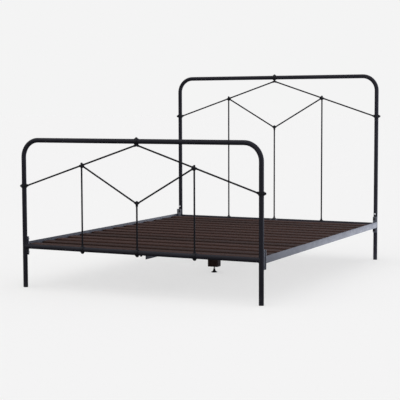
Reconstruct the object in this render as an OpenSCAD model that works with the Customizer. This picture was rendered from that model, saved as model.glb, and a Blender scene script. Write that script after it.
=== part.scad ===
// Metal bed frame: two tube-and-rod ends, two bolted side rails, wooden slats
// and a centre rail on one adjustable wooden leg.
// Millimetres. Origin on the floor at the middle of the bed, X across the bed,
// Y towards the headboard, Z up.

/* [Overall] */
// Distance between the post centres across the bed
bed_w = 1540; // [1380:5:1960]
// Distance between the headboard plane and the footboard plane
bed_l = 2065; // [1900:5:2200]
// Height of the centre of the footboard's top tube
foot_top_z = 885; // [820:5:1000]
// Height of the centre of the headboard's top tube
head_top_z = 1290; // [1150:5:1500]
// Height of the centre of the lower cross tubes
cross_z = 248; // [240:1:280]

/* [Tubes and rods] */
// Outside diameter of the bent tubes and cross tubes
tube_d = 28; // [25:0.5:32]
// Wall of the tubes
tube_wall = 1.5; // [1.2:0.1:2.5]
// Bend radius of the two top corners, to the tube's centre line
bend_r = 102; // [80:1:140]
// Diameter of the round rods
rod_d = 10; // [8:0.5:12]

/* [Rod pattern] */
// Depth of the footboard's rod crossing below its top tube
foot_peak_gap = 7; // [6:0.5:16]
// Depth of the headboard's rod crossing below its top tube
head_peak_gap = 13; // [6:0.5:20]
// Distance of the outer knots from the middle of the bed
knot_x = 366; // [300:1:420]
// Drop of the long diagonals from the middle of the bed to the outer knots
knot_drop = 122.5; // [100:0.5:140]
// Drop of the short braces from the outer knots to the middle knot
vee_drop = 213; // [170:1:240]

/* [Castings] */
// Wall of the cast collars over the tubes
collar_wall = 4.5; // [3:0.5:6]
// Length of the cast collars along the tubes
collar_len = 22; // [16:1:28]
// Radius of the round bead at each edge of a collar
collar_bead_r = 1.8; // [1.2:0.1:2.4]
// Radius of the round heart of a knot where rods meet
heart_r = 9; // [8.5:0.5:12]
// Wall of the tapered sockets around the rods
socket_wall = 1.6; // [1.2:0.1:3]
// Growth of a socket's radius from its mouth to its root
socket_taper = 1; // [0.5:0.1:2]
// Length of a knot's sockets from its middle
socket_len = 15; // [14:0.5:22]
// Length of the sockets around the braces' upper ends and the middle upright
long_socket_len = 17; // [16:0.5:24]
// Length of the sockets on the post collars, from the post's side
post_socket_len = 13; // [11:0.5:18]
// Length of the sockets on the cross tube, from the tube's side
base_socket_len = 12; // [10:0.5:18]
// Radius of the ball finials on the top tubes and posts
ball_r = 8; // [6:0.5:9]
// Distance of the top balls' tips from the tube
top_tip = 10; // [8:0.5:14]
// Distance of the post balls' tips from the tube
post_tip = 15; // [12:0.5:18]
// Radius of the balls under the cross tubes
base_ball_r = 10.5; // [8:0.5:12]
// Distance of the lower balls' tips from the tube
base_tip = 12; // [10:0.5:16]
// Radius of the round finials on the rod knots
bud_r = 6.8; // [5:0.2:8]
// Height of those finials' centres above the middle of their knot
bud_rise = 10.5; // [9:0.5:13]
// Radius of the rolled lip at a socket's mouth
lip_r = 1.3; // [0.8:0.1:1.8]
// Gap between a casting and the tube or rod it is cast around
cast_gap = 0.1; // [0.05:0.05:0.3]

/* [Post caps] */
// Thickness of the plastic cap under each post
cap_t = 3; // [2:0.5:6]
// Step around the cap's underside
cap_step = 1; // [0.5:0.1:1.5]
// Depth of the cap's plug inside the post
plug_len = 22; // [12:1:35]
// Wall of the cap's hollow plug
plug_wall = 2; // [1.5:0.1:3]

/* [Side rails] */
// Height of the rails' underside above the floor
rail_z = 230; // [222:1:250]
// Height of the rails' upright leg
rail_h = 40; // [35:1:50]
// Width of the rails' level leg that carries the slats
rail_flange = 40; // [36:1:55]
// Thickness of the rails' steel
rail_t = 3.5; // [2.5:0.5:4]

/* [Post brackets] */
// Height of the post brackets and of the plates on the rail ends
bracket_h = 110; // [100:1:120]
// Width of the brackets' leg that a rail is bolted to
bracket_w = 26; // [26:1:32]
// Width of the brackets' leg that is welded along the post
bracket_side = 15; // [12:0.5:17]
// Gap between a post and the bracket leg that a rail is bolted to
bracket_gap = 2; // [1.8:0.1:4]
// Thickness of the brackets and of the plates on the rail ends
plate_t = 4; // [3:0.5:5]
// Distance of a rail's outer face outside its brackets
rail_out = 5.5; // [0:0.5:8]
// Distance of the two bracket bolts above and below the bracket's middle
bolt_spread = 40; // [36:1:42]
// Gap between welded pieces and the tube they are welded to
weld_gap = 0.1; // [0.05:0.05:0.3]

/* [Bolts] */
// Diameter of the frame bolts
bolt_d = 8; // [6:1:8]
// Diameter of the bolts through the wooden leg
leg_bolt_d = 6; // [5:1:8]
// Width of a hexagon over its flats, as a share of its bolt's diameter
hex_share = 1.65; // [1.5:0.05:1.8]
// Height of a bolt head, as a share of the bolt's diameter
head_share = 0.66; // [0.5:0.02:0.8]
// Height of a nut, as a share of the bolt's diameter
nut_share = 0.8; // [0.6:0.02:0.9]
// Reach of a bolt's end beyond its nut
bolt_out = 2.5; // [0:0.5:6]
// Thickness of the washers
washer_t = 1.5; // [1:0.1:2]
// Clearance all round a bolt in its hole
bolt_gap = 0.3; // [0.1:0.05:0.5]
// Wall of the barrels of the press nuts in the post brackets
press_wall = 1.5; // [1:0.1:2]
// Width of a press nut's flange beyond its barrel
press_lip = 2; // [1:0.1:2]
// Thickness of a press nut's flange
press_flange_t = 1.2; // [0.8:0.1:1.4]

/* [Slats] */
// Number of slats
slat_count = 14; // [10:1:16]
// Width of a slat
slat_w = 70; // [50:1:90]
// Thickness of a slat
slat_t = 22; // [16:1:28]
// Distance of the first slat's edge from the footboard plane
slat_start = 64; // [64:1:90]
// Gap between a slat's end and the rolled fillet inside the rail
slat_gap = 1; // [0.5:0.5:4]
// Chamfer along the slats' edges
slat_chamfer = 2; // [1:0.5:4]
// Diameter of the slat screws
screw_d = 4; // [3:0.5:5]
// Length of the slat screws in the wood
screw_len = 14; // [8:1:15]
// Depth of the screws' holes beyond their points
screw_room = 0.5; // [0.2:0.1:2]

/* [Centre rail] */
// Width and depth of the centre rail's angle steel
spine_w = 32; // [30:1:40]
// Thickness of the centre rail's steel
spine_t = 3; // [2.5:0.5:4]
// Distance from the head or foot plane to where its upright leg starts
spine_cut = 75; // [60:1:120]
// Gap between the centre rail's ends and the hangers' ears
spine_gap = 2; // [1:0.5:4]
// Reach of the centre rail's hangers from the cross tubes
hanger_reach = 47; // [40:1:48]
// Width of the hangers across the bed
hanger_w = 60; // [50:1:80]
// Height of the hangers' upright ears
hanger_h = 26; // [22:1:28]
// Distance of the hanger bolts from the outer edge of their tab
hanger_edge = 15; // [12:1:16]
// Clearance round the middle casting between the hangers' ears
notch_gap = 1.5; // [0.5:0.5:4]

/* [Centre leg] */
// Width of the wooden leg across the bed
leg_w = 70; // [60:1:90]
// Depth of the wooden leg along the bed
leg_d = 55; // [45:1:80]
// Height of the wooden leg's underside above the floor
leg_z = 39; // [38:1:60]
// Chamfer along the leg's upright edges
leg_chamfer = 3; // [1:0.5:6]
// Distance of the two leg bolts from the middle of the leg
leg_bolt_y = 14; // [12:1:16]

/* [Leveller] */
// Diameter of the leveller's stud
stud_d = 8; // [6:1:10]
// Length of the stud above the foot's hub
stud_len = 48; // [40:1:60]
// Radius of the foot's base
pad_r = 19; // [15:0.5:24]
// Thickness of the base at its rim
pad_rim = 4; // [3:0.5:6]
// Height of the foot's hub
hub_h = 18; // [16:0.5:22]
// Height of the stud's hexagon above the hub
wrench_h = 5; // [4:0.5:6]
// Length of the chamfer on the stud's top end
stud_tip = 1; // [0.5:0.1:1.5]
// Room left above the stud when it is screwed right in
stud_room = 3; // [1:0.5:8]
// Width of the stud's collar that snaps into the hub
keep_lip = 1.3; // [0.8:0.1:2]
// Height of that collar
keep_h = 2.4; // [1.5:0.1:3]
// Thickness of the hub's floor above the base's rim
hub_floor = 2; // [1:0.5:4]
// Chamfer around the foot's base
pad_chamfer = 1; // [0.5:0.1:2]
// Wall of the hub's top around the stud's collar
hub_wall = 1.4; // [1:0.1:2.5]
// Width of the tee nut's flange beyond its thread
tee_lip = 6; // [4:0.5:8]
// Thickness of the tee nut's flange
tee_flange_t = 1.6; // [1.2:0.1:2.4]
// Wall of the tee nut's barrel
tee_wall = 1.6; // [1.2:0.1:2.5]
// Length of the tee nut's barrel
tee_len = 13; // [8:1:18]
// Gap between moving faces of the leveller
run_gap = 0.3; // [0.2:0.05:0.4]

/* [Head post fixings] */
// Height of the spare fixing on the headboard posts
fixing_z = 324; // [320:1:420]
// Diameter of the screw in the spare fixing
fixing_d = 6; // [5:1:8]
// Length of that screw under its head
fixing_len = 14; // [8:1:20]
// Wall of the threaded insert around the screw
insert_wall = 1.5; // [1:0.1:2]
// Depth of the insert inside the post
insert_len = 12; // [8:1:20]
// Width of the insert's flange beyond its barrel
insert_lip = 3.5; // [2:0.5:5]
// Thickness of the insert's flange
insert_flange_t = 1.5; // [1:0.1:2]

/* [Hidden] */

$fn = 72;
black = [0.10, 0.10, 0.11];
cast_black = [0.13, 0.13, 0.14];
rail_grey = [0.20, 0.20, 0.22];
wood_brown = [0.28, 0.13, 0.10];
zinc = [0.75, 0.76, 0.78];
plastic_black = [0.05, 0.05, 0.06];

FOOT = -1;
HEAD = 1;
LEFT = -1;
RIGHT = 1;
ENDS = [FOOT, HEAD];
SIDES = [LEFT, RIGHT];
eps = 0.01;
// reach of a cut past the faces that it opens
over = 1;

tube_r = tube_d / 2;
bore_r = tube_r - tube_wall;
rod_r = rod_d / 2;
post_x = bed_w / 2;
end_y = bed_l / 2;

// rod pattern, measured in the plane of one end
function top_z(end) = end == FOOT ? foot_top_z : head_top_z;
function peak_z(end) =
    top_z(end) - tube_r - (end == FOOT ? foot_peak_gap : head_peak_gap);
function knot_z(end) = peak_z(end) - knot_drop;
function vee_z(end) = knot_z(end) - vee_drop;
slope = atan2(knot_drop, knot_x);
brace_slope = atan2(vee_drop, knot_x);
function post_cast_z(end) = peak_z(end) - (post_x - tube_r) * tan(slope);

// set-back of a rod's end from a knot's middle so that it clears the next rod
function set_back(angle) = rod_r * (1 + cos(angle)) / sin(angle) + 2 * cast_gap;

collar_r = tube_r + collar_wall;
mouth_r = rod_r + socket_wall;
root_r = mouth_r + socket_taper;
// start of a socket from its knot's middle, where the heart covers its root
heart_in = 3;
// depth of a lip's circle in its socket, and of a bead's circle in its collar
lip_in = 0.3;
bead_in = collar_bead_r * 0.8;

// corner layout, seen from the post centre: X outboard, Y into the bed
face_x = tube_r + rail_out;
joint_y = tube_r + bracket_gap + plate_t;
bracket_mid = rail_z + rail_h / 2;
rail_len = bed_l - 2 * (joint_y + plate_t);
bolt_hole_r = bolt_d / 2 + bolt_gap;
bolt_x = tube_r - (bracket_w + plate_t + rolled_fillet(plate_t)) / 2;
press_r = bolt_d / 2 + press_wall;

slat_z = rail_z + rail_t;
slat_half = post_x + face_x - rail_t - rolled_fillet(rail_t) - slat_gap;
slat_step = (bed_l - 2 * slat_start - slat_w) / (slat_count - 1);
screw_x = face_x - rail_flange / 2;
function slat_y(i) = -end_y + slat_start + slat_w / 2 + i * slat_step;

hanger_y = tube_r + weld_gap;
hanger_bolt_y = hanger_y + hanger_reach - hanger_edge;
spine_bottom = slat_z - spine_w;
leg_bolt_z = spine_bottom + (spine_w - spine_t) / 2;
leg_hole_r = leg_bolt_d / 2 + bolt_gap;
leg_top = slat_z - spine_t;

stud_r = stud_d / 2;
stud_keep_r = stud_r + keep_lip;
stud_top = hub_h + wrench_h + stud_len;
tee_barrel_r = stud_r + tee_wall;
tee_flange_r = stud_r + tee_lip;
hub_z = pad_rim + hub_floor;
insert_r = fixing_d / 2 + insert_wall;
// screwing in lifts the foot until the hexagon meets the tee nut
travel = leg_z - tee_flange_t - hub_h - wrench_h - run_gap;

//---------------------------------------------------------------- helpers

// places a child at one post: X points outboard, Y points into the bed
module at_corner(side, end) {
    translate([side * post_x, end * end_y, 0])
        mirror([side == LEFT ? 1 : 0, 0, 0])
            mirror([0, end == HEAD ? 1 : 0, 0])
                children();
}

// places a child at the middle of one end: Y points into the bed
module at_end(end) {
    translate([0, end * end_y, 0])
        mirror([0, end == HEAD ? 1 : 0, 0])
            children();
}

// round bar along a line in the X-Z plane, from distance a to distance b
module bar(r, a, b, tilt) {
    rotate([0, tilt, 0]) translate([0, 0, a]) cylinder(r = r, h = b - a);
}

module ring_2d(r_out, r_in) {
    difference() {
        circle(r = r_out);
        circle(r = r_in);
    }
}

// radius of the fillet inside a hot-rolled angle of that thickness
function rolled_fillet(t) = t;

// hot-rolled angle: two legs meeting at the origin, with a rolled inner fillet
module angle_2d(leg_x, leg_y, t) {
    fillet = rolled_fillet(t);
    square([leg_x, t]);
    square([t, leg_y]);
    difference() {
        square([t + fillet, t + fillet]);
        translate([t + fillet, t + fillet]) circle(r = fillet);
    }
}

function hex_r(d) = d * hex_share / 2 / cos(30);

// hexagon bolt along +Z: the washer face lies on z = 0, the shank points down
module hex_bolt(d, shank) {
    head_h = d * head_share;
    intersection() {
        cylinder(r = hex_r(d), h = head_h, $fn = 6);
        cylinder(r1 = hex_r(d) + head_h, r2 = hex_r(d) * 0.9, h = head_h);
    }
    translate([0, 0, -shank + d / 8]) cylinder(d = d, h = shank - d / 8 + eps);
    translate([0, 0, -shank]) cylinder(r1 = d * 3 / 8, r2 = d / 2, h = d / 8 + eps);
}

// nut standing on z = 0
module hex_nut(d) {
    difference() {
        cylinder(r = hex_r(d), h = d * nut_share, $fn = 6);
        translate([0, 0, -over]) cylinder(r = d / 2 + cast_gap, h = d * nut_share + 2 * over);
    }
}

module washer(d) {
    difference() {
        cylinder(r = d, h = washer_t);
        translate([0, 0, -over]) cylinder(r = d / 2 + bolt_gap, h = washer_t + 2 * over);
    }
}

//---------------------------------------------------------------- the two ends

// one tube bent into two posts and a top rail
module bow_tube(end) {
    z = top_z(end);
    at_end(end) difference() {
        rotate([90, 0, 0]) union() {
            for (side = SIDES) mirror([side == LEFT ? 1 : 0, 0, 0]) {
                translate([post_x, cap_t, 0]) rotate([-90, 0, 0])
                    linear_extrude(height = z - bend_r - cap_t) ring_2d(tube_r, bore_r);
                translate([post_x - bend_r, z - bend_r, 0])
                    rotate_extrude(angle = 90)
                        translate([bend_r, 0]) ring_2d(tube_r, bore_r);
            }
            translate([-post_x + bend_r, z, 0]) rotate([0, 90, 0])
                linear_extrude(height = bed_w - 2 * bend_r) ring_2d(tube_r, bore_r);
        }
        if (end == HEAD) for (side = SIDES)
            translate([side * post_x, 0, fixing_z]) rotate([-90, 0, 0])
                cylinder(r = insert_r + cast_gap, h = tube_d);
    }
}

// lower cross tube, coped to fit the posts
module cross_tube(end) {
    at_end(end) difference() {
        translate([-post_x, 0, cross_z]) rotate([0, 90, 0])
            linear_extrude(height = bed_w) ring_2d(tube_r, bore_r);
        for (side = SIDES)
            translate([side * post_x, 0, cross_z - tube_d])
                cylinder(r = tube_r + weld_gap, h = 2 * tube_d);
    }
}

// long rod from the top knot through an outer knot to the post
module diagonal(side, end) {
    at_end(end) mirror([side == LEFT ? 1 : 0, 0, 0]) difference() {
        translate([0, 0, peak_z(end)])
            bar(rod_r, set_back(180 - 2 * slope), post_x / cos(slope), 90 + slope);
        translate([post_x, 0, 0]) cylinder(r = tube_r + cast_gap, h = top_z(end));
    }
}

// short rod from an outer knot down to the middle knot
module brace(side, end) {
    run = knot_x / cos(brace_slope);
    at_end(end) mirror([side == LEFT ? 1 : 0, 0, 0])
        translate([0, 0, vee_z(end)])
            bar(rod_r, set_back(90 + brace_slope), run - set_back(slope + brace_slope),
                90 - brace_slope);
}

// upright rod from the cross tube to a knot
module upright(x, z_top, end) {
    at_end(end) difference() {
        translate([x, 0, cross_z]) cylinder(r = rod_r, h = z_top - cross_z);
        translate([x - tube_d, 0, cross_z]) rotate([0, 90, 0])
            cylinder(r = tube_r + cast_gap, h = 2 * tube_d);
    }
}

module knot_upright(side, end) {
    upright(side * knot_x, knot_z(end) - set_back(90 - slope), end);
}

module vee_upright(end) {
    upright(0, vee_z(end) - set_back(90 + brace_slope), end);
}

//---------------------------------------------------------------- castings

// section of a collar: a swelling between two edge beads, open at the bore
module collar_2d() {
    half = collar_len / 2;
    rise = collar_wall - collar_bead_r;
    swell_r = (half * half + rise * rise) / (2 * rise);
    inner = tube_r + cast_gap;
    difference() {
        union() {
            intersection() {
                translate([tube_r + collar_wall - swell_r, 0]) circle(r = swell_r);
                translate([tube_r / 2, collar_bead_r - half])
                    square([tube_r, 2 * (half - collar_bead_r)]);
            }
            for (z = [-1, 1])
                translate([inner + 2 * collar_bead_r - bead_in, z * (half - collar_bead_r)])
                    circle(r = collar_bead_r, $fn = 32);
            translate([tube_r / 2, collar_bead_r - half])
                square([tube_r / 2 + collar_bead_r, 2 * (half - collar_bead_r)]);
        }
        translate([0, -collar_len]) square([inner, 2 * collar_len]);
    }
}

// collar around a tube that runs along Z
module collar() {
    rotate_extrude() collar_2d();
}

// tapered socket with a rolled lip, from distance a to distance b along a rod
module socket(a, b, tilt) {
    rotate([0, tilt, 0]) rotate_extrude() {
        polygon([[0, a], [root_r, a], [mouth_r, b - lip_r], [mouth_r, b], [0, b]]);
        translate([mouth_r - lip_in, b - lip_r]) circle(r = lip_r, $fn = 32);
    }
}

// socket open at both ends, for a rod that runs through a knot
module through_socket(len, tilt) {
    rotate([0, tilt, 0]) rotate_extrude() {
        polygon([[0, -len], [mouth_r, -len], [mouth_r, lip_r - len], [root_r, 0],
                 [mouth_r, len - lip_r], [mouth_r, len], [0, len]]);
        for (z = [-1, 1]) translate([mouth_r - lip_in, z * (len - lip_r)])
            circle(r = lip_r, $fn = 32);
    }
}

module rod_bore(a, b, tilt) {
    bar(rod_r + cast_gap, a, b, tilt);
}

module tube_bore() {
    cylinder(r = tube_r + cast_gap, h = 4 * collar_len, center = true);
}

// top knot: collar on the top tube, ball above, both long rods below
module peak_casting(end) {
    drop = top_z(end) - peak_z(end);
    at_end(end) translate([0, 0, top_z(end)]) difference() {
        union() {
            rotate([0, 90, 0]) collar();
            translate([0, 0, tube_r + top_tip - ball_r]) sphere(r = ball_r);
            translate([0, 0, -drop]) {
                sphere(r = root_r);
                cylinder(r = mouth_r, h = drop - tube_r + over);
                for (side = SIDES) socket(heart_in, socket_len, side * (90 + slope));
            }
        }
        rotate([0, 90, 0]) tube_bore();
        translate([0, 0, -drop]) for (side = SIDES)
            rod_bore(set_back(180 - 2 * slope) - cast_gap, 2 * socket_len,
                     side * (90 + slope));
    }
}

// post knot: collar on the post, ball outboard, long rod inboard
module post_casting(side, end) {
    at_end(end) mirror([side == LEFT ? 1 : 0, 0, 0])
        translate([post_x, 0, post_cast_z(end)]) difference() {
            union() {
                collar();
                translate([tube_r + post_tip - ball_r, 0, 0]) sphere(r = ball_r);
                translate([-tube_r, 0, 0]) socket(over, post_socket_len, slope - 90);
            }
            tube_bore();
            translate([-tube_r, 0, 0]) rod_bore(-2 * rod_d, 2 * post_socket_len, slope - 90);
        }
}

// outer knot: long rod through it, brace and upright let into it, bud on top
module knot_casting(side, end) {
    to_vee = 90 + brace_slope;
    at_end(end) mirror([side == LEFT ? 1 : 0, 0, 0])
        translate([knot_x, 0, knot_z(end)]) difference() {
            union() {
                sphere(r = heart_r);
                translate([0, 0, bud_rise]) sphere(r = bud_r);
                through_socket(socket_len, slope + 90);
                socket(heart_in, long_socket_len, -to_vee);
                socket(heart_in, socket_len, 180);
            }
            rod_bore(-2 * socket_len, 2 * socket_len, slope + 90);
            rod_bore(set_back(slope + brace_slope) - cast_gap, 2 * long_socket_len, -to_vee);
            rod_bore(set_back(90 - slope) - cast_gap, 2 * socket_len, 180);
        }
}

// middle knot: two braces and the middle upright let into it
module vee_casting(end) {
    at_end(end) translate([0, 0, vee_z(end)]) difference() {
        union() {
            sphere(r = heart_r);
            translate([0, 0, bud_rise]) sphere(r = bud_r);
            for (side = SIDES) socket(heart_in, socket_len, side * (90 - brace_slope));
            socket(heart_in, long_socket_len, 180);
        }
        for (side = SIDES)
            rod_bore(set_back(90 + brace_slope) - cast_gap, 2 * socket_len,
                     side * (90 - brace_slope));
        rod_bore(set_back(90 + brace_slope) - cast_gap, 2 * long_socket_len, 180);
    }
}

// foot of an upright: collar on the cross tube, ball below
module base_casting(x, end) {
    at_end(end) translate([x, 0, cross_z]) difference() {
        union() {
            rotate([0, 90, 0]) collar();
            translate([0, 0, base_ball_r - base_tip - tube_r]) sphere(r = base_ball_r);
            socket(tube_r, tube_r + base_socket_len, 0);
        }
        rotate([0, 90, 0]) tube_bore();
        rod_bore(tube_r / 2, tube_r + 2 * base_socket_len, 0);
    }
}

//---------------------------------------------------------------- post caps

module post_cap() {
    plug_r = bore_r - cast_gap;
    difference() {
        union() {
            cylinder(r = tube_r - cap_step, h = cap_t);
            translate([0, 0, cap_step]) cylinder(r = tube_r, h = cap_t - cap_step);
            cylinder(r = plug_r, h = cap_t + plug_len);
        }
        translate([0, 0, cap_t]) cylinder(r = plug_r - plug_wall, h = plug_len + over);
    }
}

//---------------------------------------------------------------- rails

// places a child on the bolted face of a bracket: Z points into the bed, X and Y
// run from the bolts' middle line and from the bracket's middle height
module at_joint(side, end) {
    at_corner(side, end) translate([bolt_x, joint_y, bracket_mid]) rotate([-90, 0, 0])
        children();
}

// angle with one leg coped to the post's side and two press nuts' holes in the other
module bracket(side, end) {
    difference() {
        at_corner(side, end) difference() {
            translate([tube_r, joint_y, bracket_mid - bracket_h / 2]) rotate([0, 0, 180])
                linear_extrude(height = bracket_h) angle_2d(bracket_w, bracket_side, plate_t);
            cylinder(r = tube_r + weld_gap, h = bracket_mid + bracket_h);
        }
        at_joint(side, end) for (dz = [-bolt_spread, bolt_spread])
            translate([0, dz, -plate_t - over])
                cylinder(r = press_r + cast_gap, h = plate_t + 2 * over);
    }
}

// angle rail: upright leg outboard, level leg under the slats
module side_rail(side) {
    mirror([side == LEFT ? 1 : 0, 0, 0]) difference() {
        translate([post_x + face_x, -rail_len / 2, rail_z])
            mirror([1, 0, 0]) rotate([90, 0, 180]) mirror([1, 0, 0])
                linear_extrude(height = rail_len) angle_2d(rail_flange, rail_h, rail_t);
        for (i = [0 : slat_count - 1])
            translate([post_x + screw_x, slat_y(i), rail_z - over])
                cylinder(r = screw_d / 2 + bolt_gap, h = rail_t + 2 * over);
    }
}

// plate welded across the end of a rail, as wide as the bracket and flush with the rail
module end_plate(side, end) {
    at_joint(side, end) difference() {
        translate([tube_r - bracket_w - bolt_x, -bracket_h / 2, 0])
            cube([bracket_w + rail_out, bracket_h, plate_t]);
        for (dz = [-bolt_spread, bolt_spread])
            translate([0, dz, -over]) cylinder(r = bolt_hole_r, h = plate_t + 2 * over);
    }
}

// puts a child on each bracket bolt's axis, at distance z from the bolted face
module at_rail_bolts(z) {
    for (side = SIDES) for (end = ENDS) for (dz = [-bolt_spread, bolt_spread])
        at_joint(side, end) translate([0, dz, z]) children();
}

// press nut: a barrel through the bracket and a thin flange on the post's side
module press_nut() {
    difference() {
        union() {
            translate([0, 0, -plate_t]) cylinder(r = press_r, h = plate_t);
            translate([0, 0, -plate_t - press_flange_t])
                cylinder(r = press_r + press_lip, h = press_flange_t);
        }
        translate([0, 0, -2 * plate_t]) cylinder(r = bolt_d / 2 + cast_gap, h = 3 * plate_t);
    }
}

//---------------------------------------------------------------- slats

module slat(i) {
    c = slat_chamfer;
    difference() {
        translate([-slat_half, slat_y(i) - slat_w / 2, slat_z])
            rotate([90, 0, 90]) linear_extrude(height = 2 * slat_half)
                polygon([[c, 0], [slat_w - c, 0], [slat_w, c], [slat_w, slat_t - c],
                         [slat_w - c, slat_t], [c, slat_t], [0, slat_t - c], [0, c]]);
        for (side = SIDES)
            translate([side * (post_x + screw_x), slat_y(i), slat_z - over])
                cylinder(r = screw_d / 2 + cast_gap, h = over + screw_len + screw_room);
    }
}

// pan-head screw driven up through the rail into a slat
module slat_screw() {
    head_r = screw_d;
    head_h = screw_d * 0.6;
    recess_r = screw_d * 0.35;
    recess_h = head_h / 2;
    point_h = screw_d / 2;
    shank = rail_t + screw_len - point_h;
    difference() {
        translate([0, 0, -head_h]) cylinder(r1 = head_r * 0.8, r2 = head_r, h = head_h);
        translate([0, 0, -head_h - over]) cylinder(r = recess_r, h = over + recess_h, $fn = 6);
    }
    cylinder(d = screw_d, h = shank);
    translate([0, 0, shank]) cylinder(d1 = screw_d, d2 = screw_d / 4, h = point_h);
}

//---------------------------------------------------------------- centre rail

// angle rail under the slats, its upright leg cut back over the hangers
module spine() {
    len = bed_l - 2 * (hanger_y + plate_t + spine_gap);
    difference() {
        translate([spine_w / 2, len / 2, slat_z])
            rotate([90, 0, 0]) rotate([0, 0, 180])
                linear_extrude(height = len) angle_2d(spine_w, spine_w, spine_t);
        for (end = ENDS) at_end(end) {
            translate([-spine_w, 0, spine_bottom - over])
                cube([2 * spine_w, spine_cut, spine_w - spine_t + over]);
            translate([0, hanger_bolt_y, spine_bottom])
                cylinder(r = bolt_hole_r, h = 2 * spine_w);
        }
        for (side = SIDES) translate([0, side * leg_bolt_y, leg_bolt_z]) rotate([0, 90, 0])
            cylinder(r = leg_hole_r, h = spine_w);
    }
}

// angle welded to the cross tube, its two ears either side of the middle
// casting; the centre rail is bolted up under its tab
module hanger(end) {
    at_end(end) difference() {
        translate([-hanger_w / 2, hanger_y, slat_z]) rotate([90, 0, 90])
            linear_extrude(height = hanger_w) angle_2d(hanger_reach, hanger_h, plate_t);
        translate([0, hanger_bolt_y, slat_z - over])
            cylinder(r = bolt_hole_r, h = plate_t + 2 * over);
        translate([0, 0, cross_z]) rotate([0, 90, 0])
            cylinder(r = collar_r + notch_gap, h = collar_len + 2 * notch_gap, center = true);
    }
}

module at_hanger_bolts(z) {
    for (end = ENDS) at_end(end) translate([0, hanger_bolt_y, z]) children();
}

//---------------------------------------------------------------- centre leg

// wooden leg, sawn to take the centre rail's upright leg
module wooden_leg() {
    c = leg_chamfer;
    w = leg_w / 2;
    d = leg_d / 2;
    difference() {
        translate([0, 0, leg_z]) linear_extrude(height = leg_top - cast_gap - leg_z)
            polygon([[-w + c, -d], [w - c, -d], [w, -d + c], [w, d - c],
                     [w - c, d], [-w + c, d], [-w, d - c], [-w, -d + c]]);
        translate([spine_w / 2 - spine_t - cast_gap, -leg_d, spine_bottom - cast_gap])
            cube([spine_t + 2 * cast_gap, 2 * leg_d, spine_w]);
        translate([spine_w / 2 - 2 * spine_t - cast_gap, -leg_d, leg_top - spine_t - cast_gap])
            cube([2 * spine_t, 2 * leg_d, spine_w]);
        for (side = SIDES) translate([0, side * leg_bolt_y, leg_bolt_z]) rotate([0, 90, 0])
            cylinder(r = leg_bolt_d / 2 + cast_gap, h = 2 * leg_w, center = true);
        translate([0, 0, leg_z - over])
            cylinder(r = tee_barrel_r + cast_gap, h = over + stud_top + travel + stud_room - leg_z);
    }
}

module at_leg_bolts(x) {
    for (side = SIDES) translate([x, side * leg_bolt_y, leg_bolt_z]) rotate([0, 90, 0])
        children();
}

//---------------------------------------------------------------- leveller

module tee_nut() {
    translate([0, 0, leg_z]) difference() {
        union() {
            translate([0, 0, -tee_flange_t]) cylinder(r = tee_flange_r, h = tee_flange_t);
            cylinder(r = tee_barrel_r, h = tee_len);
        }
        translate([0, 0, -tee_len]) cylinder(r = stud_r + run_gap, h = 3 * tee_len);
    }
}

module stud() {
    translate([0, 0, hub_z + run_gap]) cylinder(r = stud_keep_r, h = keep_h);
    translate([0, 0, hub_z + run_gap])
        cylinder(r = stud_r, h = stud_top - stud_tip - hub_z - run_gap);
    translate([0, 0, stud_top - stud_tip])
        cylinder(r1 = stud_r, r2 = stud_r - stud_tip, h = stud_tip);
    translate([0, 0, hub_h + run_gap]) cylinder(r = hex_r(stud_d), h = wrench_h, $fn = 6);
}

// round foot with a concave hub; the stud's collar snaps into it and turns
module foot_pad() {
    hub_r = stud_keep_r + run_gap + hub_wall;
    sweep_r = hub_h - pad_rim;
    c = pad_chamfer;
    difference() {
        rotate_extrude() difference() {
            polygon([[0, 0], [pad_r - c, 0], [pad_r, c], [pad_r, hub_h], [0, hub_h]]);
            translate([hub_r + sweep_r, hub_h]) circle(r = sweep_r);
        }
        translate([0, 0, hub_z]) cylinder(r = stud_r + run_gap, h = hub_h);
        translate([0, 0, hub_z]) cylinder(r = stud_keep_r + run_gap, h = keep_h + 2 * run_gap);
    }
}

//---------------------------------------------------------------- head post fixings

// threaded insert let into the post's inner side, its flange against the tube
module insert() {
    rotate([-90, 0, 0]) difference() {
        union() {
            translate([0, 0, tube_r + weld_gap])
                cylinder(r = insert_r + insert_lip, h = insert_flange_t);
            translate([0, 0, tube_r - insert_len])
                cylinder(r = insert_r, h = insert_len + weld_gap + eps);
        }
        cylinder(r = fixing_d / 2 + cast_gap, h = 2 * tube_r);
    }
}

// button-head screw with a hexagon socket
module button_screw() {
    head_r = fixing_d;
    head_h = fixing_d * 0.55;
    dome_r = head_r * 1.25;
    rotate([-90, 0, 0]) translate([0, 0, tube_r + weld_gap + insert_flange_t]) {
        difference() {
            intersection() {
                cylinder(r = head_r, h = head_h);
                translate([0, 0, head_h - dome_r]) sphere(r = dome_r);
            }
            translate([0, 0, head_h / 2]) cylinder(r = fixing_d / 3, h = head_h, $fn = 6);
        }
        translate([0, 0, -fixing_len]) cylinder(d = fixing_d, h = fixing_len + eps);
    }
}

//---------------------------------------------------------------- named pieces

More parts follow.
